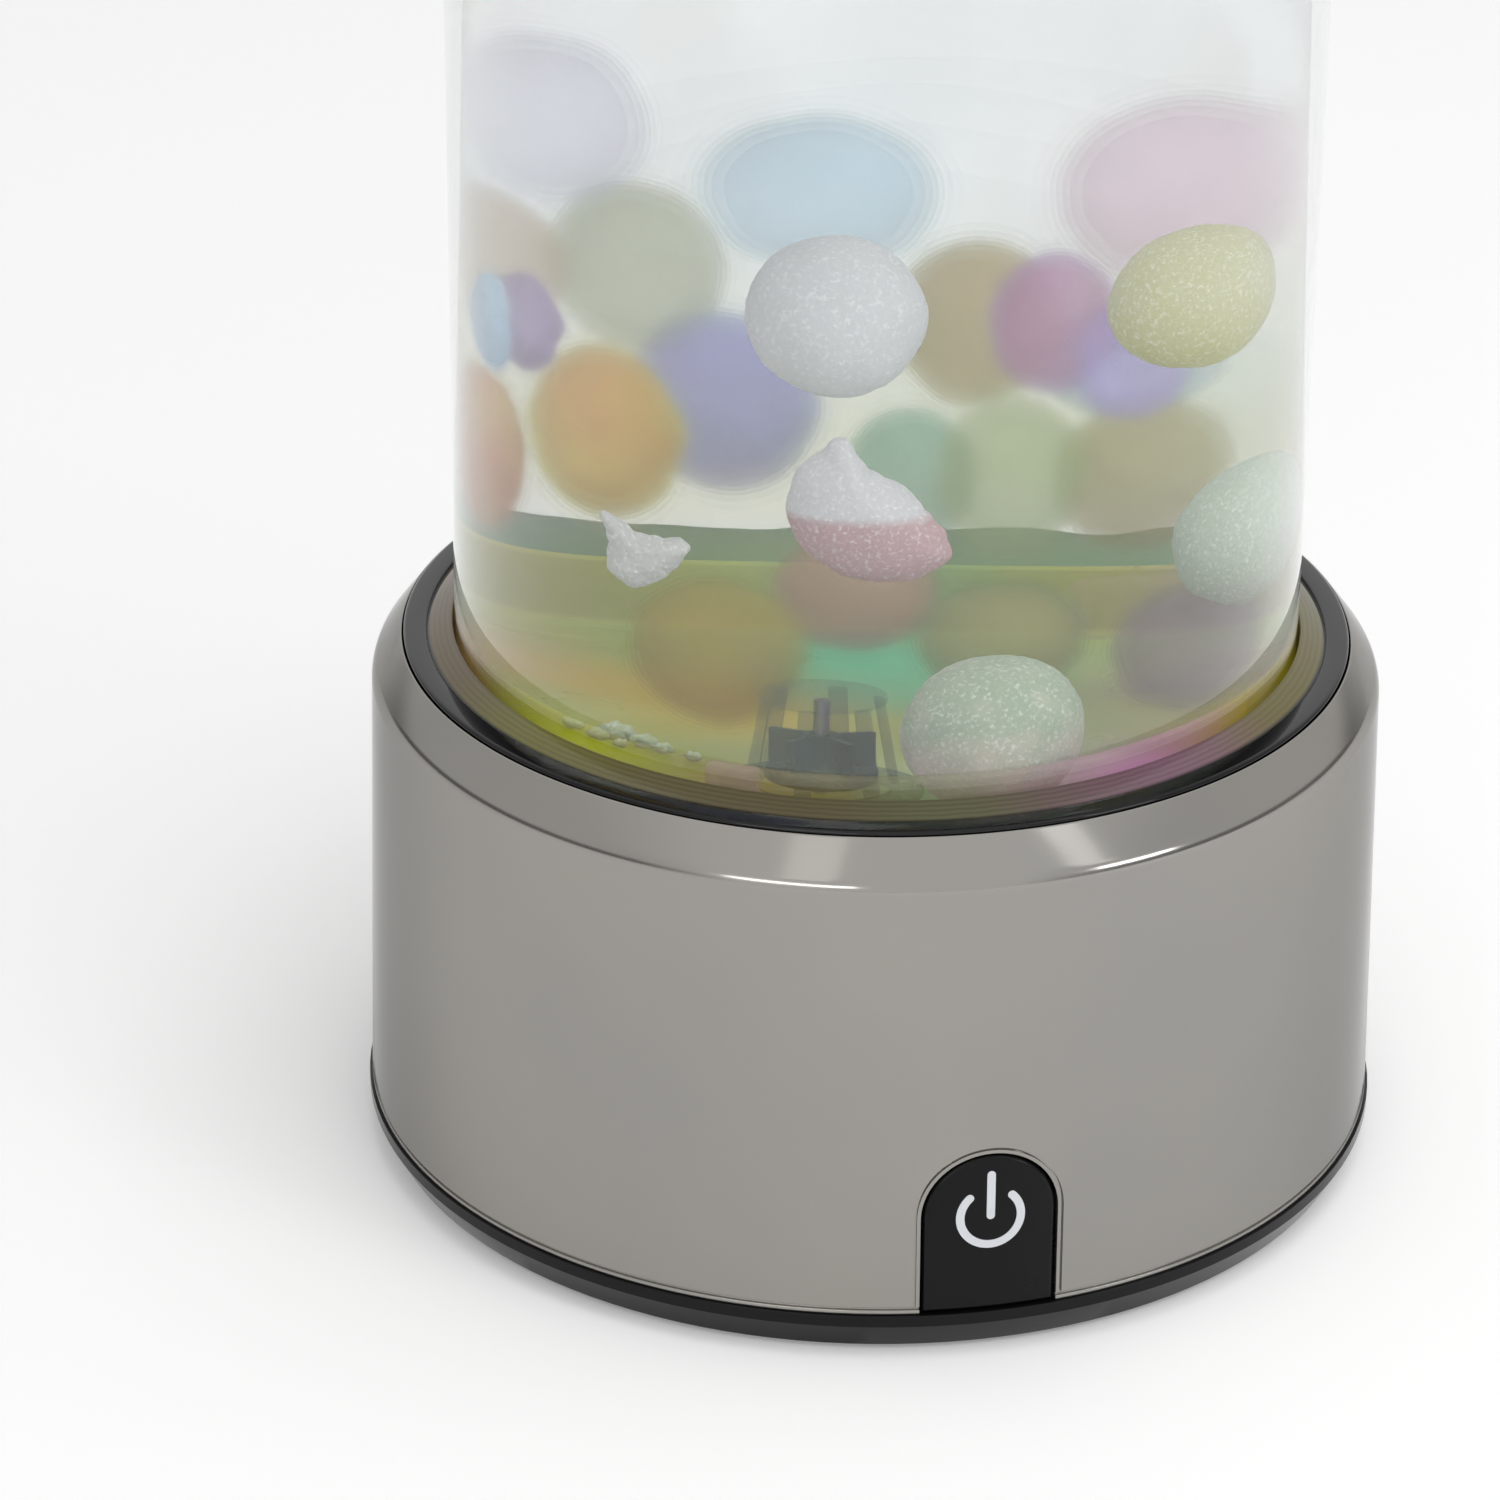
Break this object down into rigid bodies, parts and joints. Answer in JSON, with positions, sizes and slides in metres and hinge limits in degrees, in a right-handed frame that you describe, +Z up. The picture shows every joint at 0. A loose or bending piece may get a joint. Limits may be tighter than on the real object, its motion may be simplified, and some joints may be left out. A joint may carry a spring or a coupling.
{
  "type": "liquid motion lamp",
  "caption": "Table lamp with a round drafted base, a rocking power key and a clear liquid-filled tank in which wax pieces drift, stirred by a magnet-driven impeller.",
  "frame": {"origin": "on the surface that the rubber feet stand on, at the middle of the round base", "axes": "+Z up along the tank's axis, -Y the front, where the power key is, +X to the right seen from the front"},
  "size_m": [0.1508, 0.1508, 0.36],
  "materials": {
    "shell_grey": "high gloss moulded",
    "black_gloss": "high gloss moulded",
    "foot_rubber": "matt",
    "steel": "zinc plated",
    "magnet": "nickel plated",
    "white_plastic": "satin moulded",
    "dark_plastic": "satin moulded",
    "board_green": "solder mask",
    "led_red": "clear lens",
    "led_green": "clear lens",
    "led_blue": "clear lens",
    "brass_pin": "bright",
    "tank_clear": "polished clear acrylic",
    "wax_white": "frosted wax",
    "wax_lilac": "wax in coloured light",
    "wax_blue": "wax in coloured light",
    "wax_green": "wax in coloured light",
    "wax_rose": "wax in coloured light",
    "wax_orange": "wax in coloured light",
    "wax_violet": "wax in coloured light",
    "wax_tan": "wax in coloured light",
    "wax_teal": "wax in coloured light"
  },
  "bodies": {
    "base": {"base_shell": "shell_grey", "base_tray": "black_gloss", "rubber_feet": "foot_rubber", "tray_screws": "steel", "tank_cradle": "white_plastic", "led_board": "board_green", "red_leds": "led_red", "green_leds": "led_green", "blue_leds": "led_blue", "motor_mount": "dark_plastic", "drive_motor": "steel", "impeller_cage": "white_plastic", "impeller_axle": "steel", "tank_tube": "tank_clear", "tank_floor": "tank_clear", "collar_ring": "black_gloss", "button_pin": "steel", "button_bracket": "dark_plastic", "switch_board": "board_green", "tact_switch": "dark_plastic", "bracket_screws": "steel", "main_board": "board_green", "board_screws": "steel", "board_components": "dark_plastic", "dc_jack": "dark_plastic", "jack_pin": "brass_pin", "tank_lid": "white_plastic", "fill_screw": "white_plastic", "top_cap": "shell_grey"},
    "power_key": {"power_button": "black_gloss"},
    "drive_rotor": {"motor_shaft": "steel", "drive_hub": "dark_plastic", "drive_magnets": "magnet"},
    "stirrer": {"impeller": "white_plastic", "impeller_magnets": "magnet"},
    "wax": {"white_wax_balls": "wax_white", "white_wax_drop": "wax_white", "white_wax_chip": "wax_white", "wax_lilac": "wax_lilac", "wax_blue": "wax_blue", "wax_green": "wax_green", "wax_rose": "wax_rose", "wax_orange": "wax_orange", "wax_violet": "wax_violet", "wax_tan": "wax_tan", "wax_teal": "wax_teal"}
  },
  "joints": [
    {"name": "key_press", "type": "hinge", "parent": "base", "child": "power_key", "pos_m": [0, -0.0677, 0.0097], "axis": [-1, 0, 0], "range_deg": [0, 2.2], "stiffness_Nm_per_rad": 0.7, "springref_deg": -0.57},
    {"name": "motor_spin", "type": "hinge", "parent": "base", "child": "drive_rotor", "pos_m": [-0.0133, -0.0287, 0.057], "axis": [0, 0, 1], "continuous": true},
    {"name": "impeller_spin", "type": "hinge", "parent": "base", "child": "stirrer", "pos_m": [-0.0133, -0.0287, 0.08], "axis": [0, 0, 1], "continuous": true},
    {"name": "wax_rise", "type": "slide", "parent": "base", "child": "wax", "axis": [0, 0, 1], "range_m": [0, 0.12]}
  ],
  "couplings": [
    {"joint": "impeller_spin", "follows": "motor_spin", "ratio": 1}
  ]
}
